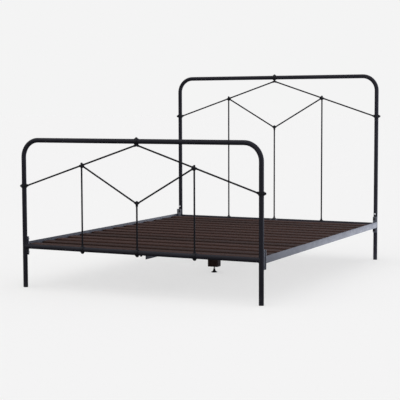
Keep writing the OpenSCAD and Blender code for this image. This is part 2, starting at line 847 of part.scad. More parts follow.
module foot_bow_tube() color(black) bow_tube(FOOT);
module foot_cross_tube() color(black) cross_tube(FOOT);
module foot_diagonal_left() color(black) diagonal(LEFT, FOOT);
module foot_diagonal_right() color(black) diagonal(RIGHT, FOOT);
module foot_brace_left() color(black) brace(LEFT, FOOT);
module foot_brace_right() color(black) brace(RIGHT, FOOT);
module foot_upright_left() color(black) knot_upright(LEFT, FOOT);
module foot_upright_right() color(black) knot_upright(RIGHT, FOOT);
module foot_upright_middle() color(black) vee_upright(FOOT);
module foot_peak_casting() color(cast_black) peak_casting(FOOT);
module foot_post_castings() color(cast_black) for (side = SIDES) post_casting(side, FOOT);
module foot_knot_castings() color(cast_black) for (side = SIDES) knot_casting(side, FOOT);
module foot_vee_casting() color(cast_black) vee_casting(FOOT);
module foot_base_castings() color(cast_black) for (x = [-knot_x, 0, knot_x]) base_casting(x, FOOT);
module head_bow_tube() color(black) bow_tube(HEAD);
module head_cross_tube() color(black) cross_tube(HEAD);
module head_diagonal_left() color(black) diagonal(LEFT, HEAD);
module head_diagonal_right() color(black) diagonal(RIGHT, HEAD);
module head_brace_left() color(black) brace(LEFT, HEAD);
module head_brace_right() color(black) brace(RIGHT, HEAD);
module head_upright_left() color(black) knot_upright(LEFT, HEAD);
module head_upright_right() color(black) knot_upright(RIGHT, HEAD);
module head_upright_middle() color(black) vee_upright(HEAD);
module head_peak_casting() color(cast_black) peak_casting(HEAD);
module head_post_castings() color(cast_black) for (side = SIDES) post_casting(side, HEAD);
module head_knot_castings() color(cast_black) for (side = SIDES) knot_casting(side, HEAD);
module head_vee_casting() color(cast_black) vee_casting(HEAD);
module head_base_castings() color(cast_black) for (x = [-knot_x, 0, knot_x]) base_casting(x, HEAD);
module post_caps() color(plastic_black)
    for (side = SIDES) for (end = ENDS) at_corner(side, end) post_cap();
module bracket_foot_left() color(rail_grey) bracket(LEFT, FOOT);
module bracket_foot_right() color(rail_grey) bracket(RIGHT, FOOT);
module bracket_head_left() color(rail_grey) bracket(LEFT, HEAD);
module bracket_head_right() color(rail_grey) bracket(RIGHT, HEAD);
module side_rail_left() color(rail_grey) side_rail(LEFT);
module side_rail_right() color(rail_grey) side_rail(RIGHT);
module end_plates_left() color(rail_grey) for (end = ENDS) end_plate(LEFT, end);
module end_plates_right() color(rail_grey) for (end = ENDS) end_plate(RIGHT, end);
module rail_bolts() color(black) at_rail_bolts(plate_t + washer_t)
    hex_bolt(bolt_d, 2 * plate_t + washer_t + press_flange_t);
module rail_washers() color(black) at_rail_bolts(plate_t) washer(bolt_d);
module rail_nuts() color(zinc) at_rail_bolts(0) press_nut();
module slats() color(wood_brown) for (i = [0 : slat_count - 1]) slat(i);
module slat_screws() color(zinc) for (side = SIDES) for (i = [0 : slat_count - 1])
    translate([side * (post_x + screw_x), slat_y(i), rail_z]) slat_screw();
module centre_rail() color(rail_grey) spine();
module hanger_foot() color(rail_grey) hanger(FOOT);
module hanger_head() color(rail_grey) hanger(HEAD);
module hanger_bolts() color(black) at_hanger_bolts(slat_z + plate_t + washer_t)
    hex_bolt(bolt_d, spine_t + plate_t + 2 * washer_t + bolt_d * nut_share + bolt_out);
module hanger_washers() color(black) {
    at_hanger_bolts(slat_z + plate_t) washer(bolt_d);
    at_hanger_bolts(slat_z - spine_t - washer_t) washer(bolt_d);
}
module hanger_nuts() color(black)
    at_hanger_bolts(slat_z - spine_t - washer_t - bolt_d * nut_share) hex_nut(bolt_d);
module centre_leg() color(wood_brown) wooden_leg();
module leg_bolts() color(zinc) at_leg_bolts(leg_w / 2)
    hex_bolt(leg_bolt_d, leg_w + leg_bolt_d * nut_share + bolt_out);
module leg_nuts() color(zinc)
    at_leg_bolts(-leg_w / 2 - leg_bolt_d * nut_share) hex_nut(leg_bolt_d);
module leg_tee_nut() color(zinc) tee_nut();
module leveller_stud() color(zinc) stud();
module leveller_foot() color(plastic_black) foot_pad();
module post_inserts() color(black) for (side = SIDES)
    at_corner(side, HEAD) translate([0, 0, fixing_z]) insert();
module post_screws() color(zinc) for (side = SIDES)
    at_corner(side, HEAD) translate([0, 0, fixing_z]) button_screw();

foot_bow_tube();
foot_cross_tube();
foot_diagonal_left();
foot_diagonal_right();
foot_brace_left();
foot_brace_right();
foot_upright_left();
foot_upright_right();
foot_upright_middle();
foot_peak_casting();
foot_post_castings();
foot_knot_castings();
foot_vee_casting();
foot_base_castings();
head_bow_tube();
head_cross_tube();
head_diagonal_left();
head_diagonal_right();
head_brace_left();
head_brace_right();
head_upright_left();
head_upright_right();
head_upright_middle();
head_peak_casting();
head_post_castings();
head_knot_castings();
head_vee_casting();
head_base_castings();
post_caps();
bracket_foot_left();
bracket_foot_right();
bracket_head_left();
bracket_head_right();
side_rail_left();
side_rail_right();
end_plates_left();
end_plates_right();
rail_bolts();
rail_washers();
rail_nuts();
slats();
slat_screws();
centre_rail();
hanger_foot();
hanger_head();
hanger_bolts();
hanger_washers();
hanger_nuts();
centre_leg();
leg_bolts();
leg_nuts();
leg_tee_nut();
leveller_stud();
leveller_foot();
post_inserts();
post_screws();
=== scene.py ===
import math

import bmesh
import bpy
from mathutils import Matrix, Vector


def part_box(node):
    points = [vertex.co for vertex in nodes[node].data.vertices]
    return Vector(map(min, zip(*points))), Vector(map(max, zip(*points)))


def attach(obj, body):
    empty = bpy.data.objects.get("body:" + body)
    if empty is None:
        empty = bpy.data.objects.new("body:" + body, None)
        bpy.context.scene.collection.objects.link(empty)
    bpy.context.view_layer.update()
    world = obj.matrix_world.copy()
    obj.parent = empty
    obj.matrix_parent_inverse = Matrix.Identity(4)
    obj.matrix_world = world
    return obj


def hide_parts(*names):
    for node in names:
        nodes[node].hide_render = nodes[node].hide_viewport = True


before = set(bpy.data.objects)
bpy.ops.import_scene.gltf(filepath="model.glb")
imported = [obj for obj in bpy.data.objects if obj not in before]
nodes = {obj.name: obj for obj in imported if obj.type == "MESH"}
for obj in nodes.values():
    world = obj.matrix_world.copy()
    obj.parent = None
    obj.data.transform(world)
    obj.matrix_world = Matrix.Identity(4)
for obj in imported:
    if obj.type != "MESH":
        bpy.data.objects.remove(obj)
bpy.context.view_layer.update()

MM = 0.001


# ---- Head and foot tubes -----------------------------------------------------
# Each end is one 28 mm steel tube, bent over a former into two posts and a
# top, with a straight cross tube coped and welded between the posts. Both
# are blasted and powder coated satin black.

coat_black = (0.0168, 0.0161, 0.0212, 1)
coat_rubbed = (0.050, 0.050, 0.056, 1)
rub_starts = 0.995
rub_full = 0.86
rub_patch = 9 * MM
scuff_top = 70 * MM
scuff_bottom = 4 * MM
scuff_most = 0.7
scuff_patch = 14 * MM
cloud_patch = 180 * MM
cloud_gain = 1.3
gloss_patch = 45 * MM


def add(tree, kind, *, settings=None, **sockets):
    """Puts a shader node in the tree, with its settings and its sockets.

    A socket goes by its name, with _ for a space, or by its number after a _.
    """
    made = tree.nodes.new("ShaderNode" + kind)
    for name, value in (settings or {}).items():
        setattr(made, name, value)
    for name, value in sockets.items():
        numbered = name[1:].isdigit()
        socket = made.inputs[int(name[1:]) if numbered else name.replace("_", " ")]
        if isinstance(value, bpy.types.NodeSocket):
            tree.links.new(value, socket)
        else:
            socket.default_value = value
    return made


def blank_finish(name):
    """A new material with a bare surface shader, and the place that patterns are laid out in."""
    finish = bpy.data.materials.new(name)
    finish.use_nodes = True
    tree = finish.node_tree
    place = tree.nodes.new("ShaderNodeTexCoord").outputs["Object"]
    return finish, tree, tree.nodes["Principled BSDF"], place


def blotches(tree, place, size, low, high, detail=3.0):
    """Soft random patches of about that size, as a value from low to high."""
    noise = add(tree, "TexNoise", Vector=place, Scale=1 / size, Detail=detail, Roughness=0.55)
    spread = add(tree, "MapRange", Value=noise.outputs["Fac"], From_Min=0.32, From_Max=0.68,
                 To_Min=low, To_Max=high)
    return spread.outputs["Result"]


def mixed(tree, share, first, second):
    """One colour over another, by a share from 0 to 1."""
    mix = add(tree, "Mix", settings={"data_type": "RGBA"}, _0=share, _6=first, _7=second)
    return mix.outputs[2]


def maths(tree, operation, first, second=0.0):
    """One sum of two values, or of one."""
    return add(tree, "Math", settings={"operation": operation}, _0=first, _1=second).outputs[0]


def lighter(colour, gain):
    """The same colour, so many times as light."""
    return tuple(gain * part for part in colour[:3]) + (1,)


def worn_edges(tree, place, width):
    """1 along sharp edges, broken up as rubbing leaves it, and 0 elsewhere."""
    eased = add(tree, "Bevel", settings={"samples": 6}, Radius=width)
    flat = tree.nodes.new("ShaderNodeNewGeometry").outputs["Normal"]
    facing = add(tree, "VectorMath", settings={"operation": "DOT_PRODUCT"},
                 _0=eased.outputs["Normal"], _1=flat).outputs["Value"]
    edge = add(tree, "MapRange", Value=facing, From_Min=rub_starts, From_Max=rub_full,
               To_Min=0.0, To_Max=1.0)
    broken = blotches(tree, place, rub_patch, 0.0, 1.0)
    return maths(tree, "MULTIPLY", edge.outputs["Result"], broken), eased.outputs["Normal"]


def powder_coat(name, colour, rubbed, sheen, roughness, grain, grain_depth, edge_width):
    """Satin powder coat: orange peel, cloudy gloss, rubbed edges and scuffed feet."""
    finish, tree, surface, place = blank_finish(name)
    edge, eased = worn_edges(tree, place, edge_width)
    height = add(tree, "SeparateXYZ", Vector=place).outputs["Z"]
    low_down = add(tree, "MapRange", Value=height, From_Min=scuff_top, From_Max=scuff_bottom,
                   To_Min=0.0, To_Max=scuff_most).outputs["Result"]
    scuffs = maths(tree, "MULTIPLY", low_down,
                   blotches(tree, place, scuff_patch, 0.0, 1.0, detail=8.0))
    cloud = mixed(tree, blotches(tree, place, cloud_patch, 0.0, 1.0), colour,
                  lighter(colour, cloud_gain))
    worn = mixed(tree, edge, cloud, rubbed)
    tree.links.new(mixed(tree, scuffs, worn, rubbed), surface.inputs["Base Color"])
    tree.links.new(blotches(tree, place, gloss_patch, roughness - 0.05, roughness + 0.06),
                   surface.inputs["Roughness"])
    peel = add(tree, "TexNoise", Vector=place, Scale=1 / grain, Detail=2.0).outputs["Fac"]
    bump = add(tree, "Bump", Strength=1.0, Distance=grain_depth, Height=peel, Normal=eased)
    tree.links.new(bump.outputs["Normal"], surface.inputs["Normal"])
    surface.inputs["Specular IOR Level"].default_value = sheen
    return finish


def finish_with(finish, *names):
    """Gives CAD pieces their finish, where their meshes are right as they are."""
    for name in names:
        nodes[name].data.materials.clear()
        nodes[name].data.materials.append(finish)


tube_coat = powder_coat("tube_coat", coat_black, coat_rubbed, sheen=0.09, roughness=0.44,
                        grain=2.4 * MM, grain_depth=0.016 * MM, edge_width=0.8 * MM)
ends = ("foot", "head")
sides = ("left", "right")
for end in ends:
    finish_with(tube_coat, end + "_bow_tube", end + "_cross_tube")


# ---- Rods of the pattern -----------------------------------------------------
# Solid 10 mm steel rods: two long diagonals, two short braces and three
# uprights in each end, cut square and held in the knots. Their coat is thin,
# and looks a shade darker than the tubes'.

rod_black = (0.0098, 0.0096, 0.0122, 1)
rod_coat = powder_coat("rod_coat", rod_black, coat_rubbed, sheen=0.10, roughness=0.48,
                       grain=1.8 * MM, grain_depth=0.012 * MM, edge_width=0.6 * MM)
rods = ("diagonal_left", "diagonal_right", "brace_left", "brace_right",
        "upright_left", "upright_right", "upright_middle")
for end in ends:
    finish_with(rod_coat, *(end + "_" + rod for rod in rods))


# ---- Cast knots --------------------------------------------------------------
# The joints are cast iron, run round the rods and tubes in a mould: a ball with
# a beaded socket for every rod, its corners run soft. They keep the sand's
# grain, and a faint line where the two halves of the mould met.

knot_coat = powder_coat("knot_coat", rod_black, coat_rubbed, sheen=0.14, roughness=0.52,
                        grain=1.1 * MM, grain_depth=0.08 * MM, edge_width=1.2 * MM)
knots = ("peak_casting", "post_castings", "knot_castings", "vee_casting", "base_castings")
mould_line_top = 0.25 * MM
mould_line_foot = 0.8 * MM
mould_line_rise = 0.3 * MM
sand_grain = 0.55 * MM
settle_share = 0.5
settle_rounds = 5
same_point = 0.002 * MM


def mould_line(finish):
    """Raises a fine line round the castings, on the plane through each end's rods."""
    tree = finish.node_tree
    surface = tree.nodes["Principled BSDF"]
    place = tree.nodes["Texture Coordinate"].outputs["Object"]
    across = add(tree, "SeparateXYZ", Vector=place).outputs["Y"]
    low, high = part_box("head_upright_middle")
    plane_y = (low.y + high.y) / 2
    from_end = maths(tree, "SUBTRACT", maths(tree, "ABSOLUTE", across), plane_y)
    off = maths(tree, "ABSOLUTE", from_end)
    ridge = add(tree, "MapRange", Value=off, From_Min=mould_line_top, From_Max=mould_line_foot,
                To_Min=1.0, To_Max=0.0).outputs["Result"]
    grained = surface.inputs["Normal"].links[0].from_socket
    bump = add(tree, "Bump", Strength=1.0, Distance=mould_line_rise, Height=ridge,
               Normal=grained)
    tree.links.new(bump.outputs["Normal"], surface.inputs["Normal"])


mould_line(knot_coat)


def joined_copy(name):
    """A CAD piece's shape, with its loose triangles joined."""
    shape = bmesh.new()
    shape.from_mesh(nodes[name].data)
    bmesh.ops.remove_doubles(shape, verts=shape.verts, dist=same_point)
    return shape


def made_piece(name, shape, finish, slot, *stands_for, body="bed"):
    """Makes a piece of a shape, with its finish, riding on a body. Its slot is not used."""
    mesh = bpy.data.meshes.new(name)
    shape.to_mesh(mesh)
    shape.free()
    mesh.materials.append(finish)
    piece = bpy.data.objects.new(name, mesh)
    bpy.context.scene.collection.objects.link(piece)
    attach(piece, body)
    if stands_for:
        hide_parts(*stands_for)
    return piece


def run_soft(piece, cell):
    """Melts a casting's sharp corners together, as iron fills a mould."""
    poured = piece.modifiers.new("poured", "REMESH")
    poured.mode = "VOXEL"
    poured.voxel_size = cell
    poured.use_smooth_shade = True
    settled = piece.modifiers.new("settled", "SMOOTH")
    settled.factor = settle_share
    settled.iterations = settle_rounds


for end in ends:
    for knot in knots:
        casting = end + "_" + knot
        run_soft(made_piece(casting + "_poured", joined_copy(casting), knot_coat, "cast_knots",
                            casting), sand_grain)


# ---- Brackets, side rails, centre rail and hangers ---------------------------
# Hot-rolled angle and flat bar, sawn, drilled and welded, then coated a dark
# satin grey. Their edges are eased by rolling and filing, and rubbed where
# slats and spanners touch.

coat_grey = (0.070, 0.073, 0.090, 1)
grey_rubbed = (0.15, 0.15, 0.17, 1)
rail_coat = powder_coat("rail_coat", coat_grey, grey_rubbed, sheen=0.65, roughness=0.40,
                        grain=3.2 * MM, grain_depth=0.025 * MM, edge_width=1.0 * MM)
flat_within = math.radians(0.3)
sharp_from = math.radians(35)
plate_ease = 0.5 * MM
side_rail_ease = 0.8 * MM
centre_rail_ease = 0.7 * MM


def eased_piece(name, finish, slot, width, body="bed"):
    """A CAD piece again, its sharp edges eased as sawing, rolling and coating leave them."""
    shape = joined_copy(name)
    bmesh.ops.dissolve_limit(shape, angle_limit=flat_within, verts=shape.verts,
                             edges=shape.edges)
    piece = made_piece(name + "_eased", shape, finish, slot, name, body=body)
    ease = piece.modifiers.new("eased_edges", "BEVEL")
    ease.width = width
    ease.segments = 2
    ease.limit_method = "ANGLE"
    ease.angle_limit = sharp_from
    ease.harden_normals = True
    ease.use_clamp_overlap = True
    for face in piece.data.polygons:
        face.use_smooth = True
    return piece


for end in ends:
    for side in sides:
        eased_piece(f"bracket_{end}_{side}", rail_coat, "coated_rail", plate_ease)
    eased_piece(f"hanger_{end}", rail_coat, "coated_rail", plate_ease)
for side in sides:
    eased_piece(f"side_rail_{side}", rail_coat, "coated_rail", side_rail_ease)
    eased_piece(f"end_plates_{side}", rail_coat, "coated_rail", plate_ease)
eased_piece("centre_rail", rail_coat, "coated_rail", centre_rail_ease)


# ---- Welds -------------------------------------------------------------------
# Electric-arc beads, laid before coating: round the cross tubes' coped ends, on
# the brackets, at the rails' end plates and along the hangers. Each is a run of
# small ripples.

bead_step = 0.7 * MM
ripple_len = 2.3 * MM
ripple_rise = 0.11
bead_sides = 8
bead_start = 0.45
bead_swell = 0.25


def evenly(corners):
    """Points along straight runs from corner to corner, one bead step apart."""
    points = [corners[0]]
    for start, finish in zip(corners, corners[1:]):
        steps = max(1, round((finish - start).length / bead_step))
        points += [start.lerp(finish, (index + 1) / steps) for index in range(steps)]
    return points


def bead(shape, points, radius, closed=False):
    """Lays a weld bead: a small ring carried from point to point, swelling at each ripple."""
    count = len(points)
    ring = first_ring = None
    for index, point in enumerate(points):
        ahead = points[(index + 1) % count] if closed or index + 1 < count else point
        behind = points[index - 1] if closed or index else point
        along = (ahead - behind).normalized()
        from_end = count if closed else min(index, count - 1 - index)
        size = radius * min(1.0, bead_start + bead_swell * from_end)
        size *= 1 + ripple_rise * math.sin(math.tau * index * bead_step / ripple_len)
        if ring is None:
            turn = Vector((0, 0, 1)).rotation_difference(along).to_matrix().to_4x4()
            made = bmesh.ops.create_circle(shape, segments=bead_sides, radius=size,
                                           matrix=Matrix.Translation(point) @ turn)
            ring = list(dict.fromkeys(edge for vert in made["verts"] for edge in vert.link_edges))
            first_ring = ring
        else:
            made = bmesh.ops.extrude_edge_only(shape, edges=ring)["geom"]
            verts = [part for part in made if isinstance(part, bmesh.types.BMVert)]
            fresh = set(verts)
            ring = [part for part in made if isinstance(part, bmesh.types.BMEdge)
                    and part.verts[0] in fresh and part.verts[1] in fresh]
            bend = last_along.rotation_difference(along).to_matrix().to_4x4()
            bmesh.ops.transform(shape, verts=verts,
                                matrix=Matrix.Translation(point) @ bend
                                @ Matrix.Scale(size / last_size, 4)
                                @ Matrix.Translation(-last_point))
        last_along, last_size, last_point = along, size, point
    if closed:
        bmesh.ops.bridge_loops(shape, edges=ring + first_ring)
    else:
        bmesh.ops.contextual_create(shape, geom=ring)
        bmesh.ops.contextual_create(shape, geom=first_ring)


def sort_faces(shape):
    """Puts the faces in order of their corners, as extruding and spinning leave it to chance."""
    shape.verts.index_update()
    count = len(shape.verts)

    def rank(face):
        first, second, third = sorted(vert.index for vert in face.verts)[:3]
        return (first * count + second) * count + third

    shape.faces.sort(key=rank)


def welded(name, shape, finish, slot):
    """Turns a set of beads the right way out and makes them a piece."""
    bmesh.ops.recalc_face_normals(shape, faces=shape.faces)
    sort_faces(shape)
    for face in shape.faces:
        face.smooth = True
    return made_piece(name, shape, finish, slot)


weld_coat = powder_coat("weld_coat", coat_black, coat_rubbed, sheen=0.22, roughness=0.45,
                        grain=1.2 * MM, grain_depth=0.10 * MM, edge_width=0.5 * MM)
grey_weld_coat = powder_coat("grey_weld_coat", coat_grey, grey_rubbed, sheen=0.55,
                             roughness=0.45, grain=1.2 * MM, grain_depth=0.10 * MM,
                             edge_width=0.5 * MM)
saddle_bead = 1.7 * MM
saddle_length = 1.15
saddle_off_post = 0.6 * MM
saddle_off_tube = 0.5 * MM
beads = bmesh.new()
for end in ends:
    low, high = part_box(end + "_cross_tube")
    tube_low, tube_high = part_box(end + "_bow_tube")
    tube_r = (high.z - low.z) / 2
    middle = (low + high) / 2
    for out, post_x in ((-1, tube_low.x + tube_r), (1, tube_high.x - tube_r)):
        saddle = []
        count = round(math.tau * tube_r * saddle_length / bead_step)
        for index in range(count):
            around = math.tau * index / count
            side_y = tube_r * math.cos(around)
            reach = math.sqrt(max(0.0, tube_r ** 2 - side_y ** 2)) + saddle_off_post
            lift = 1 + saddle_off_tube / tube_r
            saddle.append(Vector((post_x - out * reach, middle.y + side_y * lift,
                                  middle.z + tube_r * math.sin(around) * lift)))
        bead(beads, saddle, saddle_bead, closed=True)
welded("cross_tube_welds", beads, weld_coat, "coated_tube")

bracket_bead = 1.5 * MM
bracket_past = 0.2 * MM
crotch_across = 3.4 * MM
crotch_along = 4.4 * MM
tip_across = 0.7 * MM
tip_along = 0.2 * MM
plate_bead = 1.6 * MM
plate_off = 0.5 * MM
plate_top_gap = 1.5 * MM
plate_side_gap = 2.0 * MM
shelf_bead = 1.4 * MM
shelf_below = 0.3 * MM
inner_face = 4.1 * MM
inner_corner = 3.2 * MM
turn_in = 0.3 * inner_corner
hanger_bead = 1.9 * MM
hanger_bead_from = 14.5 * MM
hanger_bead_to = 29.5 * MM
hanger_seams = ((23.0 * MM, 1.4 * MM), (6.4 * MM, 1.2 * MM))
beads = bmesh.new()
for end, inward in (("foot", 1), ("head", -1)):
    for side, out in (("left", -1), ("right", 1)):
        low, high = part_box(f"bracket_{end}_{side}")
        face_x = high.x if out > 0 else low.x
        edge_y = low.y if inward > 0 else high.y
        crotch = (face_x - out * crotch_across, edge_y + inward * crotch_along)
        tip = (face_x - out * tip_across, edge_y - inward * tip_along)
        below = low.z - bracket_past
        above = high.z + bracket_past
        bead(beads, evenly([Vector((*crotch, below)), Vector((*tip, below)),
                            Vector((*tip, above)), Vector((*crotch, above))]), bracket_bead)
        rail_low, rail_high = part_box(f"side_rail_{side}")
        plate_low, plate_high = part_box(f"end_plates_{side}")
        join_y = (rail_low.y if inward > 0 else rail_high.y) + inward * plate_off
        upright_x = (rail_high.x if out > 0 else rail_low.x) - out * inner_face
        inner_x = (plate_low.x if out > 0 else plate_high.x) + out * plate_side_gap
        shelf_z = rail_low.z + inner_face
        under_z = rail_low.z - shelf_below
        bead(beads, evenly([Vector((upright_x, join_y, rail_high.z - plate_top_gap)),
                            Vector((upright_x, join_y, shelf_z + inner_corner)),
                            Vector((upright_x - out * turn_in, join_y, shelf_z + turn_in)),
                            Vector((upright_x - out * inner_corner, join_y, shelf_z)),
                            Vector((inner_x, join_y, shelf_z))]), plate_bead)
        bead(beads, evenly([Vector((inner_x, join_y, under_z)),
                            Vector((upright_x, join_y, under_z))]), shelf_bead)
    low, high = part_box(f"hanger_{end}")
    face_y = low.y if inward > 0 else high.y
    for out in (-1, 1):
        for rise, proud in hanger_seams:
            seam_y = face_y - inward * proud
            bead(beads, evenly([Vector((out * hanger_bead_from, seam_y, low.z + rise)),
                                Vector((out * hanger_bead_to, seam_y, low.z + rise))]),
                 hanger_bead)
welded("rail_welds", beads, grey_weld_coat, "coated_rail")


# ---- Plastic plugs and pad ---------------------------------------------------
# Moulded black plastic with a fine matt grain: plugs pressed into the posts'
# lower ends, and the round foot that the leveller's stud snaps into.

plastic_black = (0.009, 0.009, 0.010, 1)
plastic_grain = 0.7 * MM
plastic_grain_depth = 0.04 * MM


def moulded_plastic(name, colour):
    """Matt moulded plastic: a fine spark-eroded grain, a little uneven in tone."""
    finish, tree, surface, place = blank_finish(name)
    tree.links.new(mixed(tree, blotches(tree, place, 6 * MM, 0.0, 1.0), colour,
                         lighter(colour, 1.5)), surface.inputs["Base Color"])
    tree.links.new(blotches(tree, place, 8 * MM, 0.50, 0.62), surface.inputs["Roughness"])
    surface.inputs["Specular IOR Level"].default_value = 0.3
    grain = add(tree, "TexVoronoi", Vector=place, Scale=1 / plastic_grain).outputs["Distance"]
    bump = add(tree, "Bump", Strength=0.6, Distance=plastic_grain_depth, Height=grain)
    tree.links.new(bump.outputs["Normal"], surface.inputs["Normal"])
    return finish


plug_plastic = moulded_plastic("plug_plastic", plastic_black)
eased_piece("post_caps", plug_plastic, "black_plastic", 0.3 * MM)
eased_piece("leveller_foot", plug_plastic, "black_plastic", 0.4 * MM, body="leveller_foot")


# ---- Fixings -----------------------------------------------------------------
# Hexagon bolts, washers and nuts in black oxide; zinc-plated press nuts, slat
# screws, leg bolts and tee nut; and a bright zinc button-head screw in each
# headboard post, partly a painted glint: its colour is painted near white.

plating_patch = 3 * MM
plating_gloss = 2 * MM
scratch_width = 0.5 * MM
scratch_depth = 0.03 * MM


def plated_steel(name, colour, dull, metallic, roughness):
    """Plated or blacked steel: patchy tone and gloss, finely scratched."""
    finish, tree, surface, place = blank_finish(name)
    tree.links.new(mixed(tree, blotches(tree, place, plating_patch, 0.0, 1.0), colour, dull),
                   surface.inputs["Base Color"])
    surface.inputs["Metallic"].default_value = metallic
    tree.links.new(blotches(tree, place, plating_gloss, roughness - 0.07, roughness + 0.08),
                   surface.inputs["Roughness"])
    scratches = add(tree, "TexNoise", Vector=place, Scale=1 / scratch_width,
                    Detail=4.0).outputs["Fac"]
    bump = add(tree, "Bump", Strength=0.5, Distance=scratch_depth, Height=scratches)
    tree.links.new(bump.outputs["Normal"], surface.inputs["Normal"])
    return finish


black_fixing_ease = 0.25 * MM
zinc_fixing_ease = 0.2 * MM
black_oxide = plated_steel("black_oxide", (0.020, 0.020, 0.022, 1), (0.032, 0.031, 0.030, 1),
                           metallic=0.6, roughness=0.42)
for fixing in ("rail_bolts", "rail_washers", "hanger_bolts", "hanger_washers", "hanger_nuts"):
    eased_piece(fixing, black_oxide, "black_fixings", black_fixing_ease)
finish_with(black_oxide, "post_inserts")
zinc_plate = plated_steel("zinc_plate", (0.72, 0.73, 0.75, 1), (0.55, 0.56, 0.57, 1),
                          metallic=1.0, roughness=0.34)
for fixing in ("rail_nuts", "leg_bolts", "leg_nuts", "leg_tee_nut", "slat_screws"):
    eased_piece(fixing, zinc_plate, "zinc_fixings", zinc_fixing_ease)
# Painted glint: the post screws' zinc is painted near white and mostly non-metal, so it shines
# from any side.
zinc_with_painted_glint = plated_steel("zinc_with_painted_glint", (0.86, 0.86, 0.87, 1), (0.74, 0.74, 0.75, 1),
                           metallic=0.25, roughness=0.30)
finish_with(zinc_with_painted_glint, "post_screws")


# ---- Leveller stud -----------------------------------------------------------
# An M8 rod with a rolled thread, a hexagon pressed on for a spanner, and a smooth
# end that snaps into the round foot. Its zinc is painted near black: painted
# shade for the shadow it stands in under the leg.

thread_r = 4.0 * MM
thread_pitch = 1.25 * MM
thread_depth = 0.70 * MM
thread_steps = 28
thread_profile = ((0, 0.0), (0, 0.12), (1, 0.44), (1, 0.56), (0, 0.88), (0, 1.0))
thread_run_out = 0.1 * MM
neck_length = 0.4 * MM
hexagon_height = 5.3 * MM
hexagon_relief = 0.1 * MM
level_within = 0.01 * MM


def cut_flat(shape, height, keep_above):
    """Cuts a shape off level at a height, and closes the cut."""
    cut = bmesh.ops.bisect_plane(shape, geom=shape.verts[:] + shape.edges[:] + shape.faces[:],
                                 plane_co=(0, 0, height), plane_no=(0, 0, 1), dist=1e-7,
                                 clear_inner=keep_above, clear_outer=not keep_above)["geom_cut"]
    rim = [part for part in cut if isinstance(part, bmesh.types.BMEdge)]
    bmesh.ops.holes_fill(shape, edges=rim)


def threaded_rod(radius, bottom, top, middle):
    """A rod with a screw thread: one vee spun up a helix, cut level and closed at both ends."""
    shape = bmesh.new()
    root = radius - thread_depth
    below = bottom - 1.5 * thread_pitch
    corners = [shape.verts.new((middle.x + (radius if crest else root), middle.y,
                                below + rise * thread_pitch))
               for crest, rise in thread_profile]
    edges = [shape.edges.new(pair) for pair in zip(corners, corners[1:])]
    turns = math.ceil((top - below) / thread_pitch) + 2
    bmesh.ops.spin(shape, geom=corners + edges, cent=(middle.x, middle.y, 0), axis=(0, 0, 1),
                   dvec=(0, 0, thread_pitch / thread_steps), angle=math.tau * turns,
                   steps=turns * thread_steps, use_merge=False, use_duplicate=False)
    bmesh.ops.remove_doubles(shape, verts=shape.verts, dist=0.005 * MM)
    cut_flat(shape, bottom, keep_above=True)
    cut_flat(shape, top, keep_above=False)
    bmesh.ops.recalc_face_normals(shape, faces=shape.faces)
    return shape


stud_low, stud_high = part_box("leveller_stud")
pad_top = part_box("leveller_foot")[1].z
hexagon_top = pad_top + hexagon_height
stud_middle = (stud_low + stud_high) / 2
stud = joined_copy("leveller_stud")
hexagon_face = [vert for vert in stud.verts if abs(vert.co.z - hexagon_top) < level_within]
bmesh.ops.translate(stud, verts=hexagon_face, vec=(0, 0, -hexagon_relief))
cut_flat(stud, hexagon_top + neck_length, keep_above=False)
bmesh.ops.recalc_face_normals(stud, faces=stud.faces)
thread = threaded_rod(thread_r, hexagon_top + thread_run_out, stud_high.z, stud_middle)
thread_mesh = bpy.data.meshes.new("thread")
thread.to_mesh(thread_mesh)
thread.free()
stud.from_mesh(thread_mesh)
bpy.data.meshes.remove(thread_mesh)
sort_faces(stud)
# Painted shade: the stud's zinc is painted near black for the shadow under the leg.
zinc_dark_painted_shade = plated_steel("zinc_dark_painted_shade", (0.06, 0.06, 0.065, 1), (0.035, 0.035, 0.036, 1),
                         metallic=0.6, roughness=0.48)
made_piece("leveller_stud_threaded", stud, zinc_dark_painted_shade, "zinc_fixings", "leveller_stud",
           body="leveller_stud")


# ---- Slats and centre leg ----------------------------------------------------
# Softwood, planed, its edges eased, dipped in a dark red-brown stain. The slats
# are sawn from different boards, so each has its own rings, tone and pores.

slat_count = 14
slat_width = 70 * MM
slats_low, slats_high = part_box("slats")
slat_step = (slats_high.y - slats_low.y - slat_width) / (slat_count - 1)
first_gap = slats_low.y + slat_width / 2 - slat_step / 2
stain_dark = (0.022, 0.0085, 0.0065, 1)
stain_light = (0.060, 0.026, 0.018, 1)
# Painted shade: the leg's stain is a darker copy of the slats', for the shadow it stands in under
# the bed.
leg_stain_dark_painted_shade = (0.016, 0.0070, 0.0060, 1)
leg_stain_light_painted_shade = (0.040, 0.018, 0.014, 1)
pore_black = (0.006, 0.003, 0.003, 1)
rubbed_wood = (0.12, 0.062, 0.040, 1)
wood_edge = 1.2 * MM
wood_ease = 0.8 * MM
board_shift = 3.0
grain_stretch = 0.05
grain_wander = (0.03, 0.03, 0.03)
ring_scale = 34.0
fibre_scale = 900.0
ring_share = 0.55
pore_share = 0.6
rub_share = 0.5
relief_depth = 0.09 * MM


